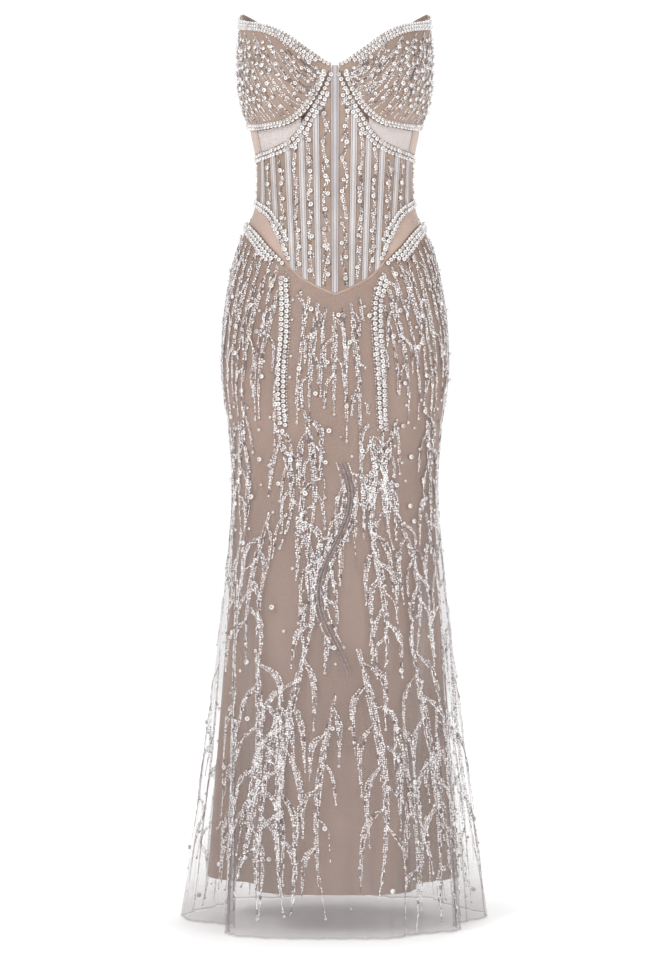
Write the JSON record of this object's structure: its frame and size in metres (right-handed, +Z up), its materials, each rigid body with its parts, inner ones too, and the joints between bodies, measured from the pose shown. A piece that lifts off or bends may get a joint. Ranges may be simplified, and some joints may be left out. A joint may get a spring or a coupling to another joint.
{
  "type": "strapless beaded maxi dress",
  "caption": "Strapless maxi dress with a boned corset bodice, cut-out side windows and a beaded net skirt that flares from the knee, worn shape.",
  "frame": {"origin": "middle of the waist, where the wearer's waist holds the dress", "axes": "+Z up, the front faces -Y, +X to the right of someone who looks at the front"},
  "size_m": [0.446, 0.4523, 1.3292],
  "materials": {
    "nude_satin": "matt satin lining cloth",
    "nude_mesh": "fine see-through stretch mesh",
    "ivory_net": "fine net sewn with sequins, tube beads and pearls",
    "silver_satin": "silvery satin bone casing",
    "pearl": "pearl beads",
    "zip_tape": "zip tape with its closed coil",
    "zip_metal": "plated metal"
  },
  "bodies": {
    "dress": {"back_band_left": "nude_satin", "back_band_right": "nude_satin", "back_waist_panel_left": "nude_satin", "back_waist_panel_right": "nude_satin", "back_window_left": "nude_mesh", "back_window_right": "nude_mesh", "bone_centre": "silver_satin", "bone_left_1": "silver_satin", "bone_left_2": "silver_satin", "bone_left_3": "silver_satin", "bone_left_4": "silver_satin", "bone_left_5": "silver_satin", "bone_right_1": "silver_satin", "bone_right_2": "silver_satin", "bone_right_3": "silver_satin", "bone_right_4": "silver_satin", "bone_right_5": "silver_satin", "corset_back_left": "nude_satin", "corset_back_right": "nude_satin", "corset_front": "nude_satin", "corset_pearls_back_left": "pearl", "corset_pearls_back_right": "pearl", "corset_pearls_left": "pearl", "corset_pearls_right": "pearl", "cup_left": "nude_satin", "cup_pearls_back_left": "pearl", "cup_pearls_back_right": "pearl", "cup_pearls_left": "pearl", "cup_pearls_right": "pearl", "cup_right": "nude_satin", "drop_pearls_left": "pearl", "drop_pearls_right": "pearl", "hip_pearls_back_left": "pearl", "hip_pearls_back_right": "pearl", "hip_pearls_left": "pearl", "hip_pearls_right": "pearl", "lining_back_left": "nude_satin", "lining_back_right": "nude_satin", "lining_front": "nude_satin", "neck_pearls_back_left": "pearl", "neck_pearls_back_right": "pearl", "neck_pearls_left": "pearl", "neck_pearls_right": "pearl", "net_back_left": "ivory_net", "net_back_right": "ivory_net", "net_front": "ivory_net", "side_casing_left": "nude_satin", "side_casing_right": "nude_satin", "waist_panel_left": "nude_satin", "waist_panel_right": "nude_satin", "waist_pearls_back_left": "pearl", "waist_pearls_back_right": "pearl", "waist_pearls_left": "pearl", "waist_pearls_right": "pearl", "window_left": "nude_mesh", "window_right": "nude_mesh", "zip_coil": "zip_tape", "zip_slider": "zip_metal"},
    "pull_tab": {"zip_pull": "zip_metal"}
  },
  "joints": [
    {"name": "zip_pull_hinge", "type": "hinge", "parent": "dress", "child": "pull_tab", "pos_m": [0, 0.10559, 0.15495], "axis": [1, 0, 0], "range_deg": [0, 150]}
  ]
}
